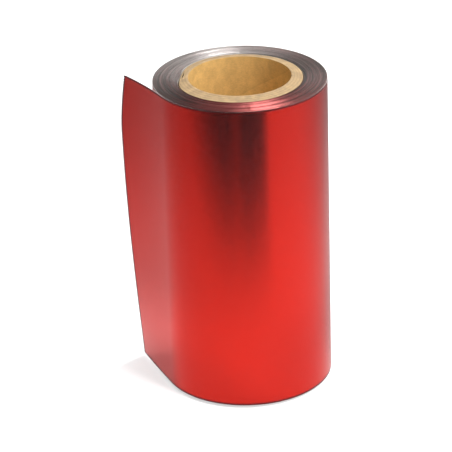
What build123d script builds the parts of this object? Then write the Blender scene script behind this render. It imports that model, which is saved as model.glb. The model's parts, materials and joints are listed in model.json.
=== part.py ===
"""A roll of metallised sign vinyl, wound on a spiral-wound board core and standing on one end.

Units are millimetres. The origin is the middle of the core's lower end, +Z runs up the roll's axis.
The web is one long strip: a red metallised face film, coated with adhesive, on a paper release liner.
Its free tail leaves the wound roll on a tangent, leaning outwards towards the top. It is cut into
stiff lengths joined by hinges that run up it, so that it can curl open or lie back on the roll.
The film's end also peels off its liner, folding back in a small loop.
"""

import os
from math import cos, pi, radians, sin

from build123d import *

# Board core
BORE_RADIUS = 38.1
CORE_WALL = 8.6
CORE_PLIES = 12
CORE_LENGTH = 245.5
GLUE_LINE = 0.05

# Web
WEB_WIDTH = 240.0
WEB_THICKNESS = 0.25
FILM_THICKNESS = 0.10
TURNS = 70
SLEEVES = 4
AIR_LINE = 0.05

# The last turn's two layers, each as thick as one whole turn so that its thin wall stays sound
LAYER_DRAWN = WEB_THICKNESS
TURNS_DRAWN_AS_LAYERS = 2

# Double-sided tape that starts the winding
TAPE_THICKNESS = 0.30
TAPE_WIDTH = 25.0

# Free tail: where the web leaves the roll, and how far it turns outwards along its length
DEPARTURE_DEG = {"bottom": -155.0, "top": -152.0}
CURL_DEG = {"bottom": -3.0, "top": 12.8}
TAIL_LENGTH = 60.0
TAIL_LIFT = 0.10
TAIL_HINGES = [10.0, 21.0, 32.0, 42.0]
HINGE_GAP = 0.25
PEEL_HINGE = 51.0
PEEL_GAP = 0.40
PEEL_LOOP_RADIUS = 2.5
TOOTH_PITCH = 1.6
TOOTH_DEPTH = 0.8

# Worked out from the dimensions above
core_radius = BORE_RADIUS + CORE_WALL
web_bottom = (CORE_LENGTH - WEB_WIDTH) / 2
first_turn_radius = core_radius + TAPE_THICKNESS
sleeve_turns = (TURNS - TURNS_DRAWN_AS_LAYERS) // SLEEVES
layers_radius = first_turn_radius + sleeve_turns * SLEEVES * WEB_THICKNESS
roll_radius = layers_radius + 2 * LAYER_DRAWN
liner_thickness = WEB_THICKNESS - FILM_THICKNESS
liner_faces = (TAIL_LIFT, TAIL_LIFT + liner_thickness)
film_faces = (TAIL_LIFT + liner_thickness, TAIL_LIFT + WEB_THICKNESS)
edge_heights = {"bottom": web_bottom, "top": web_bottom + WEB_WIDTH}


def save(shape, name):
    """Writes one piece to its own file, named after it."""
    export_step(shape, f"parts/{name}.step")


def tube(inner_radius, outer_radius, bottom, length):
    """A tube about the roll's axis."""
    section = Circle(outer_radius) - Circle(inner_radius)
    return Pos(0, 0, bottom) * extrude(section, amount=length)


def core_plies():
    """The core's board plies, from the bore outwards, each glued round the one inside it."""
    pitch = CORE_WALL / CORE_PLIES
    for ply in range(1, CORE_PLIES + 1):
        inner = BORE_RADIUS + (ply - 1) * pitch
        is_last = ply == CORE_PLIES
        outer = inner + pitch - (0 if is_last else GLUE_LINE)
        name = f"core_ply_{ply:02d}"
        if ply == 1:
            name = "core_inner_ply"
        if is_last:
            name = "core_outer_ply"
        save(tube(inner, outer, 0, CORE_LENGTH), name)


def start_tape():
    """The strip of double-sided tape between the core and the first turn."""
    half_angle = TAPE_WIDTH / core_radius / 2
    start = radians(DEPARTURE_DEG["top"])
    reach = 2 * core_radius
    corners = [(reach * cos(start + turn), reach * sin(start + turn)) for turn in (-half_angle, half_angle)]
    wedge = Polygon((0, 0), *corners, align=None)
    ring = Circle(first_turn_radius - GLUE_LINE) - Circle(core_radius)
    save(Pos(0, 0, web_bottom) * extrude(ring & wedge, amount=WEB_WIDTH), "start_tape")


def wound_sleeves():
    """The wound web inside the last turn, as nested sleeves of equal numbers of turns."""
    for sleeve in range(SLEEVES):
        first_turn = sleeve * sleeve_turns + 1
        last_turn = first_turn + sleeve_turns - 1
        inner = first_turn_radius + (first_turn - 1) * WEB_THICKNESS
        outer = inner + sleeve_turns * WEB_THICKNESS - AIR_LINE
        save(tube(inner, outer, web_bottom, WEB_WIDTH), f"web_turns_{first_turn:02d}_{last_turn:02d}")


def outer_turn():
    """The last turn's release liner and, outside it, its face film."""
    middle = layers_radius + LAYER_DRAWN
    save(tube(layers_radius, middle, web_bottom, WEB_WIDTH), "outer_turn_liner")
    save(tube(middle, roll_radius, web_bottom, WEB_WIDTH), "outer_turn_film")


def web_point(distance, edge):
    """A point on one edge of the web's inner face, a distance along it from the top edge's departure."""
    departure = radians(DEPARTURE_DEG[edge])
    wrapped = roll_radius * (radians(DEPARTURE_DEG["top"]) - departure)
    if distance < wrapped:
        angle = departure + (wrapped - distance) / roll_radius
        return Vector(roll_radius * cos(angle), roll_radius * sin(angle), edge_heights[edge])
    free = distance - wrapped
    heading = departure - pi / 2 + radians(CURL_DEG[edge]) * free / TAIL_LENGTH / 2
    x = roll_radius * cos(departure) + free * cos(heading)
    y = roll_radius * sin(departure) + free * sin(heading)
    return Vector(x, y, edge_heights[edge])


def strip_plane(start, end):
    """The plane of a flat length of the tail: X along it, Y up its starting line, Z towards the roll."""
    foot = web_point(start, "bottom")
    head = web_point(start, "top")
    up = (head - foot).normalized()
    far = (web_point(end, "bottom") + web_point(end, "top")) * 0.5 - (foot + head) * 0.5
    along = (far - up * far.dot(up)).normalized()
    return Plane(origin=foot, x_dir=along, z_dir=along.cross(up))


def toothed(foot, head):
    """The points of a zigzag cut from foot to head, both on the line of the teeth's tips."""
    teeth = round(WEB_WIDTH / TOOTH_PITCH)
    points = []
    for tooth in range(teeth):
        valley = foot + (head - foot) * (tooth / teeth)
        tip = foot + (head - foot) * ((tooth + 0.5) / teeth)
        points.append((valley.X - TOOTH_DEPTH, valley.Y))
        points.append((tip.X, tip.Y))
    points.append((head.X - TOOTH_DEPTH, head.Y))
    return points


def tail_strip(plane, start, end, faces, gaps, teeth=False):
    """A flat length of one layer of the tail, between two distances out from the web's inner face."""
    starting_gap, ending_gap = gaps
    near_foot, near_head, foot, head = [
        plane.to_local_coords(web_point(distance, edge)) for distance in (start, end) for edge in edge_heights
    ]
    near_side = [(near_head.X + starting_gap, near_head.Y), (near_foot.X + starting_gap, near_foot.Y)]
    far_side = [(foot.X - ending_gap, foot.Y), (head.X - ending_gap, head.Y)]
    if teeth:
        far_side = toothed(foot, head)
    inner_face, outer_face = faces
    outline = Polygon(*near_side, *far_side, align=None)
    return plane * Pos(0, 0, -outer_face) * extrude(outline, amount=outer_face - inner_face)


def tail():
    """The free tail: liner and film in lengths between the hinges, and the film's peeling end."""
    starts = [0.0] + TAIL_HINGES
    ends = TAIL_HINGES + [TAIL_LENGTH]
    names = ["root"] + [str(number) for number in range(1, len(starts))]
    for name, start, end in zip(names, starts, ends):
        plane = strip_plane(start, end)
        starting_gap = 0 if start == 0 else HINGE_GAP
        is_end = end == TAIL_LENGTH
        liner_gaps = (starting_gap, 0 if is_end else HINGE_GAP)
        save(tail_strip(plane, start, end, liner_faces, liner_gaps, is_end), f"tail_liner_{name}")
        film_end = PEEL_HINGE if is_end else end
        film_gaps = (starting_gap, PEEL_GAP if is_end else HINGE_GAP)
        save(tail_strip(plane, start, film_end, film_faces, film_gaps), f"tail_film_{name}")
    peel_plane = strip_plane(TAIL_HINGES[-1], TAIL_LENGTH)
    peel_end = tail_strip(peel_plane, PEEL_HINGE, TAIL_LENGTH, film_faces, (PEEL_GAP, 0), True)
    save(peel_end, "film_peel_end")


def print_hinge(name, plane, distance, out):
    """Prints a hinge line's middle and direction, out from the web's inner face, for the part's joints."""
    foot, head = [web_point(distance, edge) - plane.z_dir * out for edge in edge_heights]
    middle = (foot + head) * 0.5
    up = (head - foot).normalized()
    print(name, [round(v, 3) for v in middle], [round(v, 5) for v in up])


def print_hinges():
    """Prints every hinge line of the tail."""
    ends = TAIL_HINGES[1:] + [TAIL_LENGTH]
    for number, (hinge, end) in enumerate(zip(TAIL_HINGES, ends), start=1):
        print_hinge(f"tail_bend_{number}", strip_plane(hinge, end), hinge, TAIL_LIFT + WEB_THICKNESS / 2)
    peel_plane = strip_plane(TAIL_HINGES[-1], TAIL_LENGTH)
    print_hinge("film_peel", peel_plane, PEEL_HINGE, film_faces[0] + PEEL_LOOP_RADIUS)
    print("roll radius", roll_radius, "web edges", edge_heights)


os.makedirs("parts", exist_ok=True)
core_plies()
start_tape()
wound_sleeves()
outer_turn()
tail()
print_hinges()
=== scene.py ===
# %% [markdown]
# # A roll of metallised sign vinyl
# The real thing is one long strip, called the web: a thin red mirror-like film, stuck to a paper
# release liner, wound about seventy times round a tube of glued board. It stands on one end, and
# the last few centimetres of web hang free at its left.
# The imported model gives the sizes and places. This lesson then builds what the eye sees: the real
# spiral of the web, the board plies of the core, the curling tail, and the finish of each.

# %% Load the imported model
import json
import math

import bpy
import numpy as np
from mathutils import Euler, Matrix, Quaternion, Vector


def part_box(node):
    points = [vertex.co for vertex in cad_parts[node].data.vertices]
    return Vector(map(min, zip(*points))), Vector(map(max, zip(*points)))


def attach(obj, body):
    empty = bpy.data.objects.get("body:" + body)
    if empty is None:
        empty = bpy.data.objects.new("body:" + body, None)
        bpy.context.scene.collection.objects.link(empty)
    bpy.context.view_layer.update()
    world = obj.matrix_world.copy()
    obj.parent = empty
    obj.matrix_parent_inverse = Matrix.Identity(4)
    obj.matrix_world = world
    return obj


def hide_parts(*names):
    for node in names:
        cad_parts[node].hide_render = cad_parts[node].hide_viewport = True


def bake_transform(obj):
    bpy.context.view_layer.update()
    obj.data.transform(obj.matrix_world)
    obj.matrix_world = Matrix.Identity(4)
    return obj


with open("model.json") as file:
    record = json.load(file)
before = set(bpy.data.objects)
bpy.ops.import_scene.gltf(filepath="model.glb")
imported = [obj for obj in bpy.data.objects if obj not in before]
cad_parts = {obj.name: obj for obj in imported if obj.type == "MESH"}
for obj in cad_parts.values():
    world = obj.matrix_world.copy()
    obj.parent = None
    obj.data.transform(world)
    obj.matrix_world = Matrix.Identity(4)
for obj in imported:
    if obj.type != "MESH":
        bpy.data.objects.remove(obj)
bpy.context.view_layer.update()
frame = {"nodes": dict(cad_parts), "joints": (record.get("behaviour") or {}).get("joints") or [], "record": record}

MM = 0.001

# %% [markdown]
# ## Sizes
# The radii and heights come from the imported nodes, and the lines where the tail's pieces are cut
# come from its joints, so a change to the model moves everything with it. Only what is finer than the
# model is chosen here, such as the thickness of one turn.

# %% Read the sizes from the frame
film_low, film_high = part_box("outer_turn_film")
core_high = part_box("core_outer_ply")[1]
mounts = {mount["name"]: mount for mount in frame["record"]["mounts"]}
joints = {joint["name"]: joint for joint in frame["joints"]}
BORE_RADIUS = mounts["core_bore"]["dims"]["r_mm"] * MM
CORE_RADIUS = core_high.x
CORE_TOP = core_high.z
PLIES = sum(name.startswith("core_") for name in frame["nodes"])
PLY_PITCH = (CORE_RADIUS - BORE_RADIUS) / PLIES
ROLL_RADIUS = film_high.x
WEB_BOTTOM = film_low.z
WEB_TOP = film_high.z
WEB_WIDTH = WEB_TOP - WEB_BOTTOM
TURNS = 70
WEB_THICKNESS = 0.25 * MM
LINER_THICKNESS = 0.15 * MM
FIRST_TURN_RADIUS = ROLL_RADIUS - TURNS * WEB_THICKNESS
print("roll", ROLL_RADIUS, "core", CORE_RADIUS, "bore", BORE_RADIUS, "web", WEB_BOTTOM, WEB_TOP)

# %% [markdown]
# ## Camera
# The camera looks down on the roll from the front with a long lens, as is usual for a product,
# so the sides stay nearly parallel. It is turned a little to the left of the roll and leans by
# less than two degrees. It is turned rather than shifted, so other views of the model stay true.

# %% Place and aim the camera
CAMERA_DISTANCE = 1.851
CAMERA_ELEVATION = math.radians(25.98)
AIM_HEIGHT = WEB_BOTTOM + 0.1112
LENS_MM = 194.5
TURN_LEFT = math.radians(0.431)
TURN_UP = math.radians(0.217)
LEAN = math.radians(-1.70)


def make_camera():
    """A long lens on the roll, turned slightly off it and leaning a little."""
    data = bpy.data.cameras.new("camera")
    data.lens = LENS_MM
    camera = bpy.data.objects.new("camera", data)
    bpy.context.scene.collection.objects.link(camera)
    back = Vector((0, -math.cos(CAMERA_ELEVATION), math.sin(CAMERA_ELEVATION)))
    camera.location = Vector((0, 0, AIM_HEIGHT)) + back * CAMERA_DISTANCE
    camera.rotation_mode = "QUATERNION"
    looking = (-back).to_track_quat("-Z", "Y")
    leaning = looking @ Quaternion((0, 0, 1), LEAN)
    camera.rotation_quaternion = leaning @ Euler((TURN_UP, TURN_LEFT, 0)).to_quaternion()
    bpy.context.scene.camera = camera
    return camera


camera = make_camera()
print("camera at", tuple(round(value, 3) for value in camera.location))

# %% [markdown]
# ## Building meshes from rings
# Most pieces here are a cross-section carried along a path: a ply round the core, the web round
# and round the roll. One helper joins a row of such sections into a closed solid. It is given the
# points as an array, section by section, which is quick even for the many turns of the web.


# %% A mesh from points and faces
def mesh_object(name, points, faces, materials, face_materials, smooth_angle=None):
    """A mesh object with a material for each face; smooth where faces meet at less than the angle."""
    mesh = bpy.data.meshes.new(name)
    mesh.from_pydata(np.asarray(points).reshape(-1, 3).tolist(), [], faces)
    for material in materials:
        mesh.materials.append(material)
    mesh.polygons.foreach_set("material_index", np.asarray(face_materials, dtype=np.int32))
    if smooth_angle is not None:
        mesh.polygons.foreach_set("use_smooth", np.ones(len(faces), dtype=bool))
        mesh.update()
        mesh.set_sharp_from_angle(angle=math.radians(smooth_angle))
    mesh.validate()
    mesh.update()
    obj = bpy.data.objects.new(name, mesh)
    bpy.context.scene.collection.objects.link(obj)
    return obj


# %% A solid swept along sections
def swept_faces(sections, corners, closed):
    """The quads that join each section to the next, and the side of the section that each is on."""
    pairs = sections if closed else sections - 1
    section = np.repeat(np.arange(pairs), corners)
    side = np.tile(np.arange(corners), pairs)
    here = section * corners
    there = ((section + 1) % sections) * corners
    following = (side + 1) % corners
    quads = np.stack([here + side, here + following, there + following, there + side], axis=1)
    return quads.tolist(), side


def swept_solid(name, points, materials, side_materials, caps=None, smooth_angle=None):
    """A solid through sections of points (sections, corners, 3). caps fills the ends of an open
    sweep: it lists the corner numbers of each face of an end."""
    sections, corners, _ = points.shape
    faces, side = swept_faces(sections, corners, caps is None)
    face_materials = np.asarray(side_materials)[side].tolist()
    last = (sections - 1) * corners
    for cap in caps or []:
        faces.append(list(reversed(cap)))
        faces.append([last + corner for corner in cap])
        face_materials += [side_materials[cap[0]]] * 2
    return mesh_object(name, points, faces, materials, face_materials, smooth_angle)


# %% [markdown]
# ## Shader node groups
# Paper, board and film share some effects, such as fibres and fine grain. Others belong to one
# finish, such as the band of painted shade along the film's cut edges. Each effect is a node
# group with named sockets, made once, then placed in a material with that material's own values.


# %% Helpers that wire nodes
def new_node(tree, kind, values=None, **settings):
    """A node with its settings, and its input values by name or number."""
    node = tree.nodes.new(kind)
    for key, value in settings.items():
        setattr(node, key, value)
    for key, value in (values or {}).items():
        node.inputs[key].default_value = value
    return node


def new_group(name, inputs, outputs):
    """An empty node group with number inputs {name: value} and the named number outputs."""
    group = bpy.data.node_groups.new(name, "ShaderNodeTree")
    for socket, value in inputs.items():
        made = group.interface.new_socket(name=socket, in_out="INPUT", socket_type="NodeSocketFloat")
        made.default_value = value
    for socket in outputs:
        group.interface.new_socket(name=socket, in_out="OUTPUT", socket_type="NodeSocketFloat")
    return group, group.nodes.new("NodeGroupInput"), group.nodes.new("NodeGroupOutput")


def math_node(tree, operation, first, second=None, third=None):
    """A Math node; each input is a number or another node's output."""
    node = new_node(tree, "ShaderNodeMath", operation=operation)
    for index, value in enumerate((first, second, third)):
        if value is None:
            continue
        if isinstance(value, (int, float)):
            node.inputs[index].default_value = value
        else:
            tree.links.new(value, node.inputs[index])
    return node.outputs[0]


def smooth_step(tree, value, low, high):
    """A smooth rise from 0 to 1 as the value goes from low to high."""
    node = new_node(tree, "ShaderNodeMapRange", {1: low, 2: high}, interpolation_type="SMOOTHSTEP")
    tree.links.new(value, node.inputs[0])
    return node.outputs[0]


# %% Place in the roll, as height, angle and radius
def roll_place(tree):
    """Object coordinates, with the height above the foot, the radius and the angle about the axis."""
    place = new_node(tree, "ShaderNodeTexCoord").outputs["Object"]
    axes = new_node(tree, "ShaderNodeSeparateXYZ")
    tree.links.new(place, axes.inputs[0])
    x, y, z = axes.outputs
    squares = math_node(tree, "ADD", math_node(tree, "MULTIPLY", x, x), math_node(tree, "MULTIPLY", y, y))
    radius = math_node(tree, "SQRT", squares)
    angle = math_node(tree, "ARCTAN2", y, x)
    return place, z, radius, angle


def around_the_roll(tree, across, along, slant=0.0):
    """Coordinates rolled flat, in millimetres: along the wound direction, up the roll, and outwards.
    across and along stretch a pattern in those two directions, and slant leans it like a helix."""
    _, height, radius, angle = roll_place(tree)
    unrolled = math_node(tree, "MULTIPLY", angle, ROLL_RADIUS * 1000 / along)
    leaning = math_node(tree, "MULTIPLY_ADD", height, slant * 1000 / along, unrolled)
    flat = new_node(tree, "ShaderNodeCombineXYZ")
    tree.links.new(leaning, flat.inputs[0])
    tree.links.new(math_node(tree, "MULTIPLY", height, 1000 / across), flat.inputs[1])
    tree.links.new(math_node(tree, "MULTIPLY", radius, 1000), flat.inputs[2])
    return flat.outputs[0]


# %% The fine grain group
def make_fine_grain():
    """Speckle at two sizes, which breaks up colour, roughness and the surface's height."""
    inputs = {"Size mm": 0.6, "Strength": 1.0}
    group, given, result = new_group("fine_grain", inputs, ["Shade", "Height"])
    place = roll_place(group)[0]
    frequency = math_node(group, "DIVIDE", 1000.0, given.outputs["Size mm"])
    small = new_node(group, "ShaderNodeTexNoise", {"Detail": 2.0, "Roughness": 0.5})
    large = new_node(group, "ShaderNodeTexNoise", {"Detail": 3.0, "Roughness": 0.5})
    for node, size in ((small, frequency), (large, math_node(group, "MULTIPLY", frequency, 0.08))):
        group.links.new(place, node.inputs["Vector"])
        group.links.new(size, node.inputs["Scale"])
    mixed = math_node(group, "ADD", small.outputs[0], large.outputs[0])
    centred = math_node(group, "SUBTRACT", mixed, 1.0)
    shade = math_node(group, "MULTIPLY_ADD", centred, given.outputs["Strength"], 1.0)
    group.links.new(shade, result.inputs["Shade"])
    group.links.new(small.outputs[0], result.inputs["Height"])
    return group


# %% The slit edge group
def make_painted_edge_shade():
    """A ragged band along the web's two cut edges, where the film is darkened with painted shade."""
    group, given, result = new_group("painted_edge_shade", {"Width mm": 1.0}, ["Mask"])
    place, height, _, _ = roll_place(group)
    below_top = math_node(group, "SUBTRACT", WEB_TOP, height)
    above_foot = math_node(group, "SUBTRACT", height, WEB_BOTTOM)
    nearest = math_node(group, "MULTIPLY", math_node(group, "MINIMUM", below_top, above_foot), 1000.0)
    ragged = new_node(group, "ShaderNodeTexNoise", {"Scale": 900.0, "Detail": 2.0})
    group.links.new(place, ragged.inputs["Vector"])
    uneven = math_node(group, "MULTIPLY_ADD", ragged.outputs[0], 0.5, 0.75)
    reach = math_node(group, "MULTIPLY", uneven, given.outputs["Width mm"])
    share = math_node(group, "DIVIDE", nearest, reach)
    mask = math_node(group, "SUBTRACT", 1.0, smooth_step(group, share, 0.35, 1.0))
    group.links.new(mask, result.inputs["Mask"])
    return group


# %% The paper fibre group
def make_paper_fibre():
    """Short fibres lying along the ply, with soft clouds of darker and paler pulp between them."""
    inputs = {"Fibre mm": 1.2, "Contrast": 0.2}
    group, given, result = new_group("paper_fibre", inputs, ["Shade", "Height"])
    fibres = new_node(group, "ShaderNodeTexNoise", {"Scale": 1.0, "Detail": 3.0, "Distortion": 0.6})
    clouds = new_node(group, "ShaderNodeTexNoise", {"Scale": 0.12, "Detail": 3.0})
    stretched = around_the_roll(group, across=0.5, along=2.0, slant=0.8)
    flat = around_the_roll(group, across=1.0, along=1.0)
    finer = new_node(group, "ShaderNodeVectorMath", operation="SCALE")
    group.links.new(stretched, finer.inputs[0])
    group.links.new(math_node(group, "DIVIDE", 1.0, given.outputs["Fibre mm"]), finer.inputs["Scale"])
    group.links.new(finer.outputs[0], fibres.inputs["Vector"])
    group.links.new(flat, clouds.inputs["Vector"])
    mixed = math_node(group, "ADD", fibres.outputs[0], clouds.outputs[0])
    centred = math_node(group, "SUBTRACT", mixed, 1.0)
    shade = math_node(group, "MULTIPLY_ADD", centred, given.outputs["Contrast"], 1.0)
    group.links.new(shade, result.inputs["Shade"])
    group.links.new(fibres.outputs[0], result.inputs["Height"])
    return group


# %% The turn bands group
def make_ring_light_bands():
    """Rings of painted light and shade on the roll's end: turns that sit higher or lower catch the light
    differently, so some are brighter and the next ones darker.
    """
    group, given, result = new_group("ring_light_bands", {"Contrast": 1.0}, ["Shade"])
    _, _, radius, angle = roll_place(group)
    rings = new_node(group, "ShaderNodeCombineXYZ")
    group.links.new(math_node(group, "MULTIPLY", radius, 1000.0), rings.inputs[0])
    group.links.new(math_node(group, "COSINE", angle), rings.inputs[1])
    group.links.new(math_node(group, "SINE", angle), rings.inputs[2])
    bands = new_node(group, "ShaderNodeTexNoise", {"Scale": 0.45, "Detail": 3.0, "Roughness": 0.6})
    group.links.new(rings.outputs[0], bands.inputs["Vector"])
    centred = math_node(group, "SUBTRACT", bands.outputs[0], 0.5)
    swing = math_node(group, "MULTIPLY", centred, given.outputs["Contrast"])
    shade = math_node(group, "MAXIMUM", math_node(group, "ADD", swing, 1.0), 0.1)
    group.links.new(shade, result.inputs["Shade"])
    return group


# %% The ply lines group
def make_ply_lines():
    """Dark lines of glue on the core's cut end, one for every three plies."""
    group, given, result = new_group("ply_lines", {"Contrast": 0.5}, ["Shade"])
    _, _, radius, _ = roll_place(group)
    spacing = 3 * PLY_PITCH
    counted = math_node(group, "MULTIPLY_ADD", radius, 1 / spacing, -BORE_RADIUS / spacing)
    centred = math_node(group, "SUBTRACT", math_node(group, "FRACT", counted), 0.5)
    line = smooth_step(group, math_node(group, "ABSOLUTE", centred), 0.3, 0.5)
    drop = math_node(group, "MULTIPLY", line, given.outputs["Contrast"])
    group.links.new(math_node(group, "SUBTRACT", 1.0, drop), result.inputs["Shade"])
    return group


# %% Make the groups
fine_grain = make_fine_grain()
painted_edge_shade = make_painted_edge_shade()
paper_fibre = make_paper_fibre()
ring_light_bands = make_ring_light_bands()
ply_lines = make_ply_lines()
print("node groups", [group.name for group in bpy.data.node_groups])


# %% Helpers that finish a material
def new_material(name, constants):
    """A material with one Principled shader, whose plain values are set on its own sockets."""
    material = bpy.data.materials.new(name)
    material.use_nodes = True
    tree = material.node_tree
    shader = next(node for node in tree.nodes if node.type == "BSDF_PRINCIPLED")
    for socket, value in constants.items():
        shader.inputs[socket].default_value = value
    return material, tree, shader


def place_group(tree, group, values):
    """A copy of a node group in a material, with that material's own values."""
    node = tree.nodes.new("ShaderNodeGroup")
    node.node_tree = group
    for socket, value in values.items():
        node.inputs[socket].default_value = value
    return node


def shaded(tree, colour, shade):
    """A plain colour multiplied by a shade that varies over the surface."""
    node = new_node(tree, "ShaderNodeMix", data_type="RGBA", blend_type="MULTIPLY")
    node.inputs["Factor"].default_value = 1.0
    node.inputs[6].default_value = (*colour, 1.0)
    tree.links.new(shade, node.inputs[7])
    return node.outputs[2]


def mixed_colour(tree, varying, plain, share):
    """A varying colour turning into a plain one by a share that varies over the surface."""
    node = new_node(tree, "ShaderNodeMix", data_type="RGBA")
    tree.links.new(varying, node.inputs[6])
    node.inputs[7].default_value = (*plain, 1.0)
    tree.links.new(share, node.inputs["Factor"])
    return node.outputs[2]


def bump(tree, shader, height, strength, distance):
    """Turns a height into a bumped normal."""
    node = new_node(tree, "ShaderNodeBump", {"Strength": strength, "Distance": distance})
    tree.links.new(height, node.inputs["Height"])
    tree.links.new(node.outputs[0], shader.inputs["Normal"])


# %% [markdown]
# ## Red metallised film
# The face of the web is clear polyester with a thin layer of metal behind red lacquer. So it is a
# metal in the shader, coloured deep red, under a thin clear coat: the coat is what turns the
# edges of the roll pinkish, because it reflects white light without tinting it. The film is satin
# rather than mirror bright, with very fine grain, and a rougher band along its cut edges is darkened with painted
# shade.

# %% Red film
RED = (0.72, 0.013, 0.003)
# Painted shade: the dark red laid along the web's two cut edges.
RED_PAINTED_SHADE = (0.10, 0.006, 0.008)
# Painted shadow of the teeth: the dark red on the film's cut faces and beside its toothed cut.
RED_TEETH_SHADE = (0.07, 0.012, 0.015)


def make_red_film():
    """Satin red metal under a clear coat, with fine grain, and painted shade along its rougher edges."""
    constants = {"Metallic": 1.0, "Coat Weight": 0.6, "Coat Roughness": 0.5, "Coat IOR": 1.5}
    material, tree, shader = new_material("red_film", constants)
    grain = place_group(tree, fine_grain, {"Size mm": 0.35, "Strength": 0.05})
    edge = place_group(tree, painted_edge_shade, {"Width mm": 2.2})
    colour = shaded(tree, RED, grain.outputs["Shade"])
    # The edge band mixes the red towards the dark red of painted shade.
    painted_shade_share = math_node(tree, "MULTIPLY", edge.outputs["Mask"], 0.9)
    tree.links.new(mixed_colour(tree, colour, RED_PAINTED_SHADE, painted_shade_share), shader.inputs["Base Color"])
    drawn = new_node(tree, "ShaderNodeTexNoise", {"Scale": 1.0, "Detail": 2.0})
    tree.links.new(around_the_roll(tree, across=30.0, along=2.2), drawn.inputs["Vector"])
    rough = math_node(tree, "MULTIPLY_ADD", drawn.outputs[0], 0.07, 0.18)
    worn = math_node(tree, "MULTIPLY_ADD", edge.outputs["Mask"], 0.15, rough)
    tree.links.new(worn, shader.inputs["Roughness"])
    bump(tree, shader, grain.outputs["Height"], 0.10, 0.00002)
    return material


def make_shaded_cut_red():
    """The film along its cuts, dark with painted shadow of the teeth, and dull."""
    material, tree, shader = new_material("shaded_cut_red", {"Metallic": 0.6, "Roughness": 0.55})
    grain = place_group(tree, fine_grain, {"Size mm": 0.5, "Strength": 0.3})
    tree.links.new(shaded(tree, RED_TEETH_SHADE, grain.outputs["Shade"]), shader.inputs["Base Color"])
    return material


red_film = make_red_film()
shaded_cut_red = make_shaded_cut_red()

# %% [markdown]
# ## Silver back and cut edges
# Behind its lacquer the film is bare metal, covered with clear adhesive, so its back is silver
# grey. At the roll's end only edges are seen, turn after turn, each a bright line of metal beside
# a line of paper sunk in the groove between films, coloured near black with painted shade. Fine
# parallel lines smear a reflection across themselves, as on a turned pan, so the edge is an
# anisotropic metal. The knife leaves the film's edge as a ridge with two bevels, silver on the
# side that faces the axis and red on the other, which is why the same lamp makes a white
# highlight at the back of the end face and a red one at its front.

# %% Silver back and cut edges
SILVER = (0.62, 0.60, 0.59)
EDGE_GREY = (0.40, 0.38, 0.37)
EDGE_RED = (0.50, 0.14, 0.13)


def make_silver_back():
    """The film's metal back under clear adhesive."""
    material, tree, shader = new_material("silver_back", {"Metallic": 0.85, "Coat Weight": 0.2})
    grain = place_group(tree, fine_grain, {"Size mm": 1.0, "Strength": 0.15})
    tree.links.new(shaded(tree, SILVER, grain.outputs["Shade"]), shader.inputs["Base Color"])
    tree.links.new(math_node(tree, "MULTIPLY", grain.outputs["Shade"], 0.42), shader.inputs["Roughness"])
    bump(tree, shader, grain.outputs["Height"], 0.15, 0.00002)
    return material


def make_cut_edge(name, colour):
    """One bevel of the web's cut edge, a metal whose highlights run outwards across the turns."""
    constants = {"Metallic": 1.0, "Anisotropic": 0.6, "Anisotropic Rotation": 0.25, "Roughness": 0.45}
    material, tree, shader = new_material(name, constants)
    # Painted light and shade in rings, turn by turn, multiplied into the edge's colour.
    bands = place_group(tree, ring_light_bands, {"Contrast": 7.0})
    tree.links.new(shaded(tree, colour, bands.outputs["Shade"]), shader.inputs["Base Color"])
    tangent = new_node(tree, "ShaderNodeTangent", direction_type="RADIAL", axis="Z")
    tree.links.new(tangent.outputs[0], shader.inputs["Tangent"])
    return material


silver_back = make_silver_back()
cut_edge = make_cut_edge("cut_edge", EDGE_GREY)
cut_edge_red = make_cut_edge("cut_edge_red", EDGE_RED)

# %% [markdown]
# ## Paper and board
# The release liner is smooth white paper. The core is board: its cut rim is pale tan and a little
# furry, its plies show as rings, and the paper that lines the bore is golden brown, wound in a
# helix, so a seam climbs the bore like a screw thread. An image of board would blur close up, so
# the fibres are noise, stretched along the way that each ply is wound.

# %% Paper and board
LINER_WHITE = (0.80, 0.785, 0.75)
# Painted shade: the white liner's edge, sunk between the proud films, is coloured near black.
SHADED_EDGE_PAPER = (0.07, 0.065, 0.06)
BOARD_TAN = (0.29, 0.20, 0.105)
FACE_KRAFT = (0.27, 0.17, 0.085)
BORE_KRAFT = (0.68, 0.43, 0.145)
TAPE_BUFF = (0.75, 0.72, 0.62)
SEAM_LEAD_MM = 150.0
SEAMS = 3.0


def make_paper(name, colour, contrast, fibre_mm, rough, coat=0.0, plies=0.0):
    """Paper or board with fibres in its colour and its surface, and plies if it is seen cut across."""
    material, tree, shader = new_material(name, {"Coat Weight": coat, "Coat Roughness": 0.4})
    fibre = place_group(tree, paper_fibre, {"Fibre mm": fibre_mm, "Contrast": contrast})
    grain = place_group(tree, fine_grain, {"Size mm": 0.5, "Strength": contrast * 0.5})
    shade = math_node(tree, "MULTIPLY", fibre.outputs["Shade"], grain.outputs["Shade"])
    if plies:
        lines = place_group(tree, ply_lines, {"Contrast": plies})
        shade = math_node(tree, "MULTIPLY", shade, lines.outputs["Shade"])
    tree.links.new(shaded(tree, colour, shade), shader.inputs["Base Color"])
    tree.links.new(math_node(tree, "MULTIPLY", fibre.outputs["Shade"], rough), shader.inputs["Roughness"])
    bump(tree, shader, fibre.outputs["Height"], 0.35, 0.00008)
    return material


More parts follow.
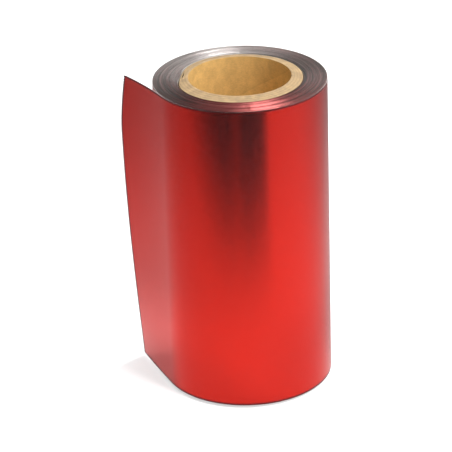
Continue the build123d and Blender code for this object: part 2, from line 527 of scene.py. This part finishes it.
def make_bore_paper():
    """Golden kraft paper whose colour changes a little from one wrap of the helix to the next."""
    material, tree, shader = new_material("bore_paper", {"Coat Weight": 0.12, "Coat Roughness": 0.5})
    fibre = place_group(tree, paper_fibre, {"Fibre mm": 1.3, "Contrast": 0.55})
    _, height, _, angle = roll_place(tree)
    climbed = math_node(tree, "MULTIPLY", height, 1000.0 / SEAM_LEAD_MM)
    turned = math_node(tree, "MULTIPLY_ADD", angle, 0.5 / math.pi, climbed)
    phase = math_node(tree, "FRACT", math_node(tree, "MULTIPLY", turned, SEAMS))
    seam = math_node(tree, "SUBTRACT", 1.0, smooth_step(tree, phase, 0.0, 0.03))
    lap = math_node(tree, "MULTIPLY_ADD", phase, 0.08, 0.96)
    shade = math_node(tree, "MULTIPLY", fibre.outputs["Shade"], lap)
    darker = math_node(tree, "MULTIPLY_ADD", seam, -0.07, shade)
    tree.links.new(shaded(tree, BORE_KRAFT, darker), shader.inputs["Base Color"])
    shader.inputs["Roughness"].default_value = 0.62
    raised = math_node(tree, "SUBTRACT", fibre.outputs["Height"], math_node(tree, "MULTIPLY", seam, 2.0))
    bump(tree, shader, raised, 0.4, 0.0001)
    return material


liner_paper = make_paper("liner_paper", LINER_WHITE, 0.06, 0.9, 0.5, coat=0.15)
liner_edge = make_paper("liner_edge", SHADED_EDGE_PAPER, 0.10, 0.9, 0.5, coat=0.3)
board_ply = make_paper("board_ply", BOARD_TAN, 0.8, 1.4, 0.85, plies=0.28)
face_paper = make_paper("face_paper", FACE_KRAFT, 0.22, 1.3, 0.75)
tape_film = make_paper("tape_film", TAPE_BUFF, 0.08, 1.0, 0.55)
bore_paper = make_bore_paper()
print("materials", [material.name for material in bpy.data.materials])

# %% [markdown]
# ## The board core
# A core is made from a dozen long strips of board, each wound in a helix over the last and glued.
# One thick tube would have the right outline, but not the parted plies of the rim. So every ply is
# its own piece here, a tube with many rings of points. The rim slopes down outwards,
# and the knife leaves each cut end slightly higher or lower than the next. At the left of the rim
# the plies are knocked in, and two of them have parted, which opens a small dark slit.

# %% The shape of the knocked rim
DENT = 3.0 * MM
DENT_DEPTH = 24.0 * MM
DENT_ANGLE = math.radians(172.0)
DENT_WIDTH = math.radians(22.0)
WEB_DENT_WIDTH = math.radians(15.0)
WEB_DENT_TURNS = 26.0
SLIT = 1.3 * MM
SLIT_PLY = 8
SLIT_WIDTH = math.radians(8.0)


def knocked_in(angle, height, depth, width):
    """How far something is pushed towards the axis near the top, at the left of the roll."""
    near_top = np.clip((height - (CORE_TOP - DENT_DEPTH)) / DENT_DEPTH, 0, 1)
    turned = np.mod(angle, 2 * math.pi)
    return depth * near_top * np.exp(-(((turned - DENT_ANGLE) / width) ** 2))


def ply_knocked_in(angle, height, ply):
    """The dent in one ply: most in the outer ones, and a slit where two plies have parted."""
    dent = knocked_in(angle, height, DENT * (ply / PLIES) ** 3, DENT_WIDTH)
    if ply > SLIT_PLY:
        return dent
    return dent + knocked_in(angle, height, SLIT * (ply / SLIT_PLY) ** 3, SLIT_WIDTH)


def rim_wear(radius):
    """How far the rim is below the core's full length: it slopes outwards, and is rounded at the bore."""
    outwards = (radius - BORE_RADIUS) / (CORE_RADIUS - BORE_RADIUS)
    bore_edge = np.clip(1 - (radius - BORE_RADIUS) / (1.5 * MM), 0, 1)
    return (0.7 + 2.0 * outwards + 0.4 * bore_edge**2) * MM


# %% One ply of the core
PLY_NAMES = ["core_inner_ply"] + [f"core_ply_{ply:02d}" for ply in range(2, PLIES)] + ["core_outer_ply"]
PLY_STEPS = 180
PLY_FILL = 0.97
DENT_RINGS = [0.8, 0.6, 0.45, 0.3, 0.2, 0.1, 0.04]
UNEVEN_END_MM = 0.12
FUR = 0.035 * MM
WORN_HEIGHT = 4.0 * MM
ply_ends = np.random.default_rng(5)


def core_ply(ply, name):
    """A tube of board with many heights, so that its rim can be knocked in."""
    inner = BORE_RADIUS + (ply - 1) * PLY_PITCH
    outer = inner + PLY_PITCH * PLY_FILL
    uneven = float(ply_ends.uniform(-UNEVEN_END_MM, 0.0)) * MM
    angles = np.linspace(0, 2 * math.pi, PLY_STEPS, endpoint=False)[:, None]
    plain_rings = np.linspace(0, CORE_TOP - DENT_DEPTH, 6)
    dent_rings = CORE_TOP - DENT_DEPTH * np.array(DENT_RINGS)
    heights = np.concatenate([plain_rings, dent_rings, [CORE_TOP + uneven]])
    furry = FUR * np.sin(angles * 17 + ply * 2.1) * np.sin(angles * 41 + ply)
    up = np.concatenate([heights, heights[::-1]])[None, :]
    wall = np.concatenate([np.full(len(heights), outer), np.full(len(heights), inner)])[None, :]
    near_top = np.clip((up - (CORE_TOP - WORN_HEIGHT)) / WORN_HEIGHT, 0, 1)
    radius = wall - ply_knocked_in(angles, up, ply)
    lifted = up - rim_wear(wall) * near_top + furry * near_top
    points = np.stack(np.broadcast_arrays(radius * np.cos(angles), radius * np.sin(angles), lifted), axis=2)
    count = len(heights)
    sides = [0] * (count - 1) + [1] + [2] * (count - 1) + [1]
    skins = {1: (board_ply, board_ply, bore_paper), PLIES: (face_paper, board_ply, board_ply)}
    materials = skins.get(ply, (board_ply,) * 3)
    piece = swept_solid(f"{name}_board", points, materials, sides, smooth_angle=40)
    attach(piece, "wound_roll")
    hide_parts(name)
    return piece


plies = [core_ply(number, name) for number, name in enumerate(PLY_NAMES, start=1)]
print("core plies", len(plies))

# %% [markdown]
# ## The wound web
# The web could be faked with a few rings, but the real roll's end gets its look from its build:
# every turn's film stands a hair proud of its liner and each turn wanders slightly up or down. So
# the web is wound here as it is on the machine, a strip whose section has twelve corners, liner
# then film, carried round a spiral. Seen from the front the proud film shows its red face, and
# from the back its silver one. It is wound in four lengths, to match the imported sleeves, and the
# last turn's liner and film are separate pieces.

# %% The spiral's path
START_ANGLE = math.radians(-152.0)
FILM_PROUD = 0.05 * MM
BEVEL = 0.03 * MM
AIR = 0.006 * MM


def wander(turn):
    """How far the web has drifted up or down the roll, after that many turns."""
    slow = 0.12 * np.sin(turn * 2 * math.pi * 0.107 + 0.8) + 0.08 * np.sin(turn * 2 * math.pi * 0.231)
    quick = 0.03 * np.sin(turn * 2 * math.pi * 1.043 + 2.0) + 0.05 * np.sin(turn * 2 * math.pi * 0.473)
    return (slow + quick) * MM


def spiral(turns, depth, height):
    """Points on the spiral, at a depth outwards from the web's inner face."""
    angle = START_ANGLE - 2 * math.pi * (turns - TURNS)
    follows = np.clip(1 - turns / WEB_DENT_TURNS, 0, 1) ** 2
    dent = knocked_in(angle, height, DENT * follows, WEB_DENT_WIDTH)
    radius = FIRST_TURN_RADIUS + turns * WEB_THICKNESS + depth - dent
    return np.stack([radius * np.cos(angle), radius * np.sin(angle), height], axis=-1)


# %% A length of wound web
STEPS_PER_TURN = 180
FILM_FACE = WEB_THICKNESS - AIR
FILM_MIDDLE = (LINER_THICKNESS + FILM_FACE) / 2
LINER_EDGE_AT = FILM_PROUD + BEVEL
EDGE_PROFILE = [
    (0, LINER_EDGE_AT),
    (LINER_THICKNESS, LINER_EDGE_AT),
    (LINER_THICKNESS, BEVEL),
    (FILM_MIDDLE, 0),
    (FILM_FACE, BEVEL),
]


def web_section(knee):
    """Corners of the web's section, as depth and height, and each side's material.
    It goes up the inner face, over the top edge, down the outer face and back under the foot."""
    top = [(depth, WEB_TOP - inset) for depth, inset in EDGE_PROFILE]
    foot = [(depth, WEB_BOTTOM + inset) for depth, inset in reversed(EDGE_PROFILE)]
    corners = [(0, knee)] + top + [(FILM_FACE, knee)] + foot
    sides = [0, 1, 2, 3, 4, 5, 5, 4, 3, 2, 1, 0]
    return corners, sides


def wound_length(name, first_turn, last_turn, nodes):
    """The web, liner and film together, from one turn to another."""
    turns = np.linspace(first_turn, last_turn, int((last_turn - first_turn) * STEPS_PER_TURN) + 1)
    drift = wander(turns)
    corners, sides = web_section(CORE_TOP - DENT_DEPTH)
    points = np.stack([spiral(turns, depth, height + drift) for depth, height in corners], axis=1)
    materials = (liner_paper, liner_edge, silver_back, cut_edge, cut_edge_red, red_film)
    # These faces overlap beside corner 0 and leave a few open edges, hidden inside the roll.
    caps = [[0, 1, 2, 10, 11], [0, 2, 5, 6], [2, 3, 4, 5], [0, 6, 7, 10], [7, 8, 9, 10]]
    piece = swept_solid(name, points, materials, sides, caps=caps)
    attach(piece, "wound_roll")
    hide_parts(*nodes)
    return piece


sleeve_nodes = sorted(name for name in frame["nodes"] if name.startswith("web_turns_"))
sleeve_turns = (TURNS - 2) // len(sleeve_nodes)
for number, node in enumerate(sleeve_nodes):
    start = number * sleeve_turns
    end = TURNS - 1 if node == sleeve_nodes[-1] else start + sleeve_turns
    wound = wound_length(f"wound_{node}", start, end, [node])
    print(wound.name, "turns", start, "to", end, "faces", len(wound.data.polygons))

# %% The last turn's liner and film
OUTER_STEPS = 360


def strip_caps(rows):
    """The end faces of a thin strip whose corners go up one face in rows and down the other."""
    last = 2 * rows - 1
    return [[row, row + 1, last - 1 - row, last - row] for row in range(rows - 1)]


def outer_layer(name, inner, outer, proud, node, materials, slot):
    """One layer of the last turn, smooth enough to show a clean reflection."""
    turns = np.linspace(TURNS - 1, TURNS, OUTER_STEPS + 1)
    heights = np.linspace(WEB_BOTTOM + FILM_PROUD - proud, WEB_TOP - FILM_PROUD + proud, 5)
    settled = wander(turns) * 0.3
    corners = [(inner, height) for height in heights] + [(outer, height) for height in heights[::-1]]
    points = np.stack([spiral(turns, depth, height + settled) for depth, height in corners], axis=1)
    steps = len(heights) - 1
    sides = [1] * steps + [2] + [0] * steps + [2]
    caps = strip_caps(len(heights))
    piece = swept_solid(name, points, materials, sides, caps=caps, smooth_angle=40)
    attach(piece, "wound_roll")
    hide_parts(node)
    return piece


# The film's cut faces get the dark red of painted shadow.
film_skins = (red_film, silver_back, shaded_cut_red, shaded_cut_red)
liner_skins = (liner_paper,) * 4
film_depths = (LINER_THICKNESS, WEB_THICKNESS)
liner_depths = (0, LINER_THICKNESS - AIR)
outer_layer("last_turn_liner", *liner_depths, 0, "outer_turn_liner", liner_skins, "release_liner")
outer_layer("last_turn_film", *film_depths, FILM_PROUD, "outer_turn_film", film_skins, "red_film")
print("last turn wound")

# %% [markdown]
# ## The free tail
# Past its last contact with the roll the web runs free. Its foot keeps close to the roll and its
# head leans out and curls back, as a stiff film does when it has set in a curve. A cloth
# simulation would let it droop, so a formula gives a point for any distance along the web and any
# share of its height. Every piece of the tail samples that one surface, so neighbours meet
# exactly. The end was cut on a toothed
# bar, so it is a zigzag.

# %% The tail's surface
FOOT_DEPARTURE = math.radians(-155.0)
HEAD_DEPARTURE = START_ANGLE
TAIL_LENGTH = 60.0 * MM
FOOT_CURL_DEG = -3.0
HEAD_CURL_DEG = 12.8
CURL_FULL_AT = 0.75


def tail_point(distance, share, depth):
    """A point of the tail: distance along the web, share of its height, depth out from its inner face."""
    departure = FOOT_DEPARTURE + (HEAD_DEPARTURE - FOOT_DEPARTURE) * share
    wrapped = ROLL_RADIUS * (HEAD_DEPARTURE - departure)
    rising = np.sin(np.minimum(share / CURL_FULL_AT, 1) * math.pi / 2)
    curl = FOOT_CURL_DEG + (HEAD_CURL_DEG - FOOT_CURL_DEG) * rising
    free = np.maximum(distance - wrapped, 0)
    turned = np.radians(curl) * free / TAIL_LENGTH
    chord = departure - math.pi / 2 + turned / 2
    heading = departure - math.pi / 2 + turned
    angle = departure + np.maximum(wrapped - distance, 0) / ROLL_RADIUS
    outward = np.where(distance < wrapped, angle, heading + math.pi / 2)
    x = ROLL_RADIUS * np.cos(angle) + free * np.cos(chord) + depth * np.cos(outward)
    y = ROLL_RADIUS * np.sin(angle) + free * np.sin(chord) + depth * np.sin(outward)
    z = WEB_BOTTOM + WEB_WIDTH * share + 0 * distance
    return np.stack(np.broadcast_arrays(x, y, z), axis=-1)


# %% A piece of the tail
TEETH = 100
TOOTH = 1.5 * MM
# The width of the band before the teeth that is darkened with painted shadow.
CUT_SHADE_BAND = 0.9 * MM
CORNER_ROUNDING = 8.0 * MM
CORNER_SHARE = 0.20
COLUMN_WIDTH = 0.5 * MM
PLAIN_ROWS = 61
CUT_COLUMNS = 28


def cut_line(share):
    """Where the zigzag cut runs: nearly square, falling back at the head, where the cut began."""
    falling = np.clip((share - (1 - CORNER_SHARE)) / CORNER_SHARE, 0, 1)
    return TAIL_LENGTH - CORNER_ROUNDING * falling ** 1.6


def tail_grid(start, end, rows, depth):
    """Points of one face of a tail piece, columns along the web and rows up it. end None is the cut."""
    share = np.linspace(0, 1, rows)[None, :]
    if end is not None:
        columns = np.linspace(start, end, max(2, round((end - start) / COLUMN_WIDTH) + 1))[:, None]
        return tail_point(columns + 0 * share, share + 0 * columns, depth)
    steps = np.linspace(0, 1, CUT_COLUMNS)[:, None]
    roots = cut_line(share) - TOOTH
    distance = start + (roots - CUT_SHADE_BAND - start) * steps
    tips = roots + TOOTH * (np.arange(rows) % 2)[None, :]
    share_of_all = np.concatenate([share + 0 * steps, share, share])
    return tail_point(np.concatenate([distance, roots, tips]), share_of_all, depth)


# %% The faces of a tail piece
# The last kind is the outer face beside the toothed cut, darkened with painted shadow of the teeth.
OUTER, INNER, EDGE, SHADED_CUT_OUTER = range(4)


def tail_quads(number, shaded_columns):
    """Four arrays of point numbers for each part of a tail piece, with the material of each part.
    number is the grid of the inner face's points, and the outer face's points follow them."""
    outer_number = number.size
    here, along, up, both = number[:-1, :-1], number[1:, :-1], number[:-1, 1:], number[1:, 1:]
    # The last columns before the cut carry the painted shadow of the teeth.
    plain = slice(0, len(here) - shaded_columns)
    shaded_cut = slice(plain.stop, None)
    parts = [((here, up, both, along), INNER)]
    for columns, kind in ((plain, OUTER), (shaded_cut, SHADED_CUT_OUTER)):
        parts.append(([quad[columns] + outer_number for quad in (here, along, both, up)], kind))
    edges = ((number[:, 0], False), (number[:, -1], True), (number[0], True), (number[-1], False))
    for line, flip in edges:
        first, second = (line[1:], line[:-1]) if flip else (line[:-1], line[1:])
        parts.append(((first, second, second + outer_number, first + outer_number), EDGE))
    return parts


def tail_piece(name, start, end, inner, outer, materials):
    """A thin closed solid between two depths of the tail. end None is the toothed cut."""
    rows = 2 * TEETH + 1 if end is None else PLAIN_ROWS
    inner_face, outer_face = tail_grid(start, end, rows, inner), tail_grid(start, end, rows, outer)
    number = np.arange(inner_face.shape[0] * rows).reshape(-1, rows)
    faces, kinds = [], []
    for quads, kind in tail_quads(number, 2 if end is None else 0):
        stacked = np.stack([quad.ravel() for quad in quads], axis=1).tolist()
        faces.extend(stacked)
        kinds.extend([kind] * len(stacked))
    points = np.concatenate([inner_face.reshape(-1, 3), outer_face.reshape(-1, 3)])
    return mesh_object(name, points, faces, materials, kinds, smooth_angle=50)


# %% [markdown]
# Each piece spans one joint's line and is cut half way to the next, from the one curled surface,
# so nine short pieces make a tail that curls as one sheet.

# %% Joints and pieces of the tail
BEND_REACH = 4.2 * MM
PEEL_REACH = 2.4 * MM
bodies = ["wound_roll", "tail_1", "tail_2", "tail_3", "tail_4"]


def middle_of(distance):
    """The tail's middle line at a distance along it, for the ends of a bend."""
    foot = Vector(tail_point(np.float64(distance), np.float64(0.0), 0))
    head = Vector(tail_point(np.float64(distance), np.float64(1.0), 0))
    return (foot + head) / 2


def along_the_tail(name):
    """How far along the tail a joint's line is."""
    steps = np.arange(0, TAIL_LENGTH, 0.1 * MM)
    line = Vector(joints[name]["pos_m"]).xy
    gaps = [(middle_of(step).xy - line).length for step in steps]
    return float(steps[int(np.argmin(gaps))])


bends = [along_the_tail(f"tail_bend_{number}") for number in range(1, len(bodies))]
peel = along_the_tail("film_peel")
print("bends at", [round(bend, 4) for bend in bends], "peel at", round(peel, 4))


def bend_piece(piece, distance, reach):
    """Bakes a piece's placement into its mesh. It finds the tail's middle line a reach each side of a joint's
    line, but does not bend the piece.
    """
    middle_of(distance - reach)
    middle_of(distance + reach)
    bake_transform(piece)


def tail_layer(layer, depths, materials, ends, nodes):
    """The pieces of one layer of the tail, cut half way between its joints."""
    made = []
    start = 0.0
    for number, end in enumerate(ends):
        piece = tail_piece(f"tail_{layer}_piece_{number + 1}", start, end, *depths, materials)
        bend_piece(piece, bends[number], BEND_REACH)
        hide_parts(*nodes[number])
        made.append(piece)
        start = end
    return made


# %% Make the tail
between = [(first + second) / 2 for first, second in zip(bends[:-1], bends[1:])]
flap_start = (bends[-1] + BEND_REACH + peel - PEEL_REACH) / 2
liner_nodes = [["tail_liner_root"], ["tail_liner_1"], ["tail_liner_2"], ["tail_liner_3", "tail_liner_4"]]
film_nodes = [["tail_film_root"], ["tail_film_1"], ["tail_film_2"], ["tail_film_3", "tail_film_4"]]
liner_ends, film_ends = between + [None], between + [flap_start]
liner_pieces = tail_layer("liner", liner_depths, liner_skins, liner_ends, liner_nodes)
film_pieces = tail_layer("film", film_depths, film_skins, film_ends, film_nodes)
flap = tail_piece("tail_film_peeling_end", flap_start, None, *film_depths, film_skins)
bend_piece(flap, peel, PEEL_REACH)
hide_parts("film_peel_end")
print("tail pieces", len(liner_pieces) + len(film_pieces) + 1)

# %% [markdown]
# Film and paper don't stretch, so each piece is as long as the web that it was cut from.

# %% [markdown]
# ## The starting tape
# A strip of double-sided tape holds the first turn to the core. Only its end shows, between the
# core and the web, so it is a simple curved strip with a slightly wavy edge.

# %% The starting tape
TAPE_WIDTH = 25.0 * MM
TAPE_ROWS = 40
TAPE_INSET = 0.3 * MM
TAPE_WAVE = 0.002


def start_tape():
    """The tape's curved strip, wavy along its two cut edges."""
    half = TAPE_WIDTH / CORE_RADIUS / 2
    angles = START_ANGLE + np.linspace(-half, half, 25)[:, None]
    heights = np.linspace(WEB_BOTTOM + TAPE_INSET, WEB_TOP - TAPE_INSET, TAPE_ROWS)
    up = np.concatenate([heights, heights[::-1]])[None, :]
    outer = np.full(TAPE_ROWS, FIRST_TURN_RADIUS - 0.05 * MM)
    inner = np.full(TAPE_ROWS, CORE_RADIUS + 0.02 * MM)
    radius = np.concatenate([outer, inner])[None, :]
    wavy = angles + TAPE_WAVE * np.sin(up * 400.0)
    points = np.stack(np.broadcast_arrays(radius * np.cos(wavy), radius * np.sin(wavy), up), axis=2)
    sides = [0] * (2 * TAPE_ROWS)
    caps = strip_caps(TAPE_ROWS)
    piece = swept_solid("starting_tape_strip", points, [tape_film], sides, caps=caps, smooth_angle=40)
    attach(piece, "wound_roll")
    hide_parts("start_tape")
    return piece


tape = start_tape()
print("tape faces", len(tape.data.polygons))

# %% [markdown]
# ## Floor, light and studio cards
# Metal shows what stands round it more than it shows itself. The floor is pale and so is the
# room. The open side of the room is darker, and the camera stands there: the floor darkens away
# from the roll on that side, which puts the soft dark shape on the roll's front. That darkening
# is a card which only reflections can see, like black paper laid on a studio table. A second card
# dims the floor by distance and direction, so the light fades round the roll, and a third dims the
# ceiling, which the roll's end reflects. Three lamps give the end its bright streaks and light the
# board, and a fill lamp without shadows or highlights keeps the floor white.

# %% Floor
FLOOR_WHITE = (0.93, 0.93, 0.93)


def make_floor():
    """A wide pale floor with a soft matte finish."""
    bpy.ops.mesh.primitive_grid_add(x_subdivisions=8, y_subdivisions=8, size=12.0)
    floor = bpy.context.object
    floor.name = "studio_floor"
    material, tree, shader = new_material("floor_paint", {"Roughness": 0.9, "Specular IOR Level": 0.1})
    grain = place_group(tree, fine_grain, {"Size mm": 8.0, "Strength": 0.01})
    tree.links.new(shaded(tree, FLOOR_WHITE, grain.outputs["Shade"]), shader.inputs["Base Color"])
    floor.data.materials.append(material)
    return floor


make_floor()


# %% Cards that only reflections see
CARD_BLACK = (0.010, 0.010, 0.012)


def reflection_card(name, height, opacity):
    """A level black card, seen only by reflections. opacity is how solid it is: one number, or a
    function that adds the nodes for it to the card's material."""
    bpy.ops.mesh.primitive_plane_add(size=8.0, location=(0, 0, height))
    card = bpy.context.object
    card.name = name
    card.visible_camera = False
    card.visible_diffuse = False
    card.visible_shadow = False
    card.visible_transmission = False
    material = bpy.data.materials.new(name)
    material.use_nodes = True
    tree = material.node_tree
    tree.nodes.clear()
    clear = new_node(tree, "ShaderNodeBsdfTransparent")
    paint = new_node(tree, "ShaderNodeEmission", {"Color": (*CARD_BLACK, 1.0), "Strength": 1.0})
    mix = new_node(tree, "ShaderNodeMixShader")
    result = new_node(tree, "ShaderNodeOutputMaterial")
    if callable(opacity):
        tree.links.new(opacity(tree), mix.inputs[0])
    else:
        mix.inputs[0].default_value = opacity
    tree.links.new(clear.outputs[0], mix.inputs[1])
    tree.links.new(paint.outputs[0], mix.inputs[2])
    tree.links.new(mix.outputs[0], result.inputs["Surface"])
    card.data.materials.append(material)
    return card


def floor_place(tree):
    """The distance out from the roll's wall, and the angle from straight ahead, in degrees."""
    _, _, radius, angle = roll_place(tree)
    out = math_node(tree, "SUBTRACT", radius, ROLL_RADIUS)
    degrees = math_node(tree, "MULTIPLY_ADD", angle, 180 / math.pi, 90.0)
    wrapped = math_node(tree, "WRAP", degrees, 180.0, -180.0)
    return out, wrapped


def window(tree, value, low, high, soft_low, soft_high):
    """1 between low and high, falling smoothly to 0 over the two soft widths."""
    rising = smooth_step(tree, value, low - soft_low, low + soft_low)
    falling = smooth_step(tree, value, high - soft_high, high + soft_high)
    return math_node(tree, "SUBTRACT", rising, falling)


def in_front(tree):
    """The distance in front of the roll's axis, towards the camera."""
    _, _, radius, angle = roll_place(tree)
    to_the_back = math_node(tree, "MULTIPLY", radius, math_node(tree, "SINE", angle))
    return math_node(tree, "MULTIPLY", to_the_back, -1.0)


# %% How solid each card is, with distances in metres and directions in degrees
LIT_DIRECTION = 45.0
CEILING_DIMMING = 0.7


def dark_front(tree):
    """Dark past the front edge of the table, as far round as the lamp's side of the room."""
    _, degrees = floor_place(tree)
    far = smooth_step(tree, in_front(tree), 0.17, 0.55)
    sector = window(tree, degrees, -120.0, 31.0, 10.0, 4.0)
    gap = window(tree, degrees, -11.0, -3.0, 4.0, 4.0)
    lighter = math_node(tree, "MULTIPLY_ADD", gap, -0.20, 1.0)
    return math_node(tree, "MULTIPLY", math_node(tree, "MULTIPLY", far, sector), lighter)


def dim_sides(tree):
    """The floor's light falls off with distance, and away from the lamp's side of the room.
    The card is thinner close to the roll on its shadow side, and thicker on its lit side."""
    out, degrees = floor_place(tree)
    away = math_node(tree, "ABSOLUTE", math_node(tree, "SUBTRACT", degrees, LIT_DIRECTION))
    falling = math_node(tree, "MULTIPLY_ADD", smooth_step(tree, out, 0.15, 0.60), 0.18, 0.45)
    unlit = math_node(tree, "MULTIPLY_ADD", smooth_step(tree, away, 20.0, 140.0), 0.12, falling)
    behind = math_node(tree, "MULTIPLY_ADD", smooth_step(tree, degrees, 70.0, 140.0), 0.10, unlit)
    close = math_node(tree, "SUBTRACT", 1.0, smooth_step(tree, out, 0.05, 0.17))
    shadow_side = math_node(tree, "SUBTRACT", 1.0, smooth_step(tree, degrees, -90.0, 60.0))
    thinner = math_node(tree, "MULTIPLY_ADD", shadow_side, -0.30, 0.08)
    return math_node(tree, "MULTIPLY_ADD", close, thinner, behind)


reflection_card("dim_ceiling_card", 2.2, CEILING_DIMMING)
reflection_card("dim_sides_card", 0.0004, dim_sides)
reflection_card("dark_front_card", 0.0008, dark_front)

# %% Room and lamps
ROOM_LIGHT = 0.63
BRIGHTER_RIGHT, BRIGHTER_BACK = 0.92, -0.38
LAMPS_AIM = (0, 0, 0.2)


def make_room():
    """A pale room that lights everything softly, brighter on its right and a little at its front."""
    world = bpy.data.worlds.new("room")
    bpy.context.scene.world = world
    world.use_nodes = True
    tree = world.node_tree
    background = next(node for node in tree.nodes if node.type == "BACKGROUND")
    background.inputs["Color"].default_value = (1.0, 1.0, 1.0, 1.0)
    direction = new_node(tree, "ShaderNodeTexCoord").outputs["Generated"]
    axes = new_node(tree, "ShaderNodeSeparateXYZ")
    tree.links.new(direction, axes.inputs[0])
    right = math_node(tree, "MULTIPLY", axes.outputs[0], BRIGHTER_RIGHT)
    towards_lamp = math_node(tree, "MULTIPLY_ADD", axes.outputs[1], BRIGHTER_BACK, right)
    strength = math_node(tree, "MULTIPLY_ADD", towards_lamp, ROOM_LIGHT, ROOM_LIGHT)
    tree.links.new(strength, background.inputs["Strength"])


def area_lamp(name, place, size, watts):
    """A soft square lamp aimed at the roll's end."""
    data = bpy.data.lights.new(name, "AREA")
    data.size = size
    data.energy = watts
    lamp = bpy.data.objects.new(name, data)
    bpy.context.scene.collection.objects.link(lamp)
    lamp.location = place
    lamp.rotation_euler = (Vector(LAMPS_AIM) - Vector(place)).to_track_quat("-Z", "Y").to_euler()
    return lamp


def fill_lamp(strength):
    """Even light from above without shadows or highlights, which keeps the floor white."""
    data = bpy.data.lights.new("fill_lamp", "SUN")
    data.energy = strength
    data.use_shadow = False
    lamp = bpy.data.objects.new("fill_lamp", data)
    bpy.context.scene.collection.objects.link(lamp)
    lamp.visible_glossy = False
    return lamp


make_room()
area_lamp("key_lamp", (0.27, 0.22, 1.40), 0.3, 12.0)
area_lamp("soft_lamp", (-0.55, 0.33, 2.0), 0.8, 2.0)
area_lamp("bore_lamp", (0.9, -0.8, 1.55), 0.4, 18.0)
fill_lamp(1.7)
bpy.context.scene.view_settings.view_transform = "Standard"
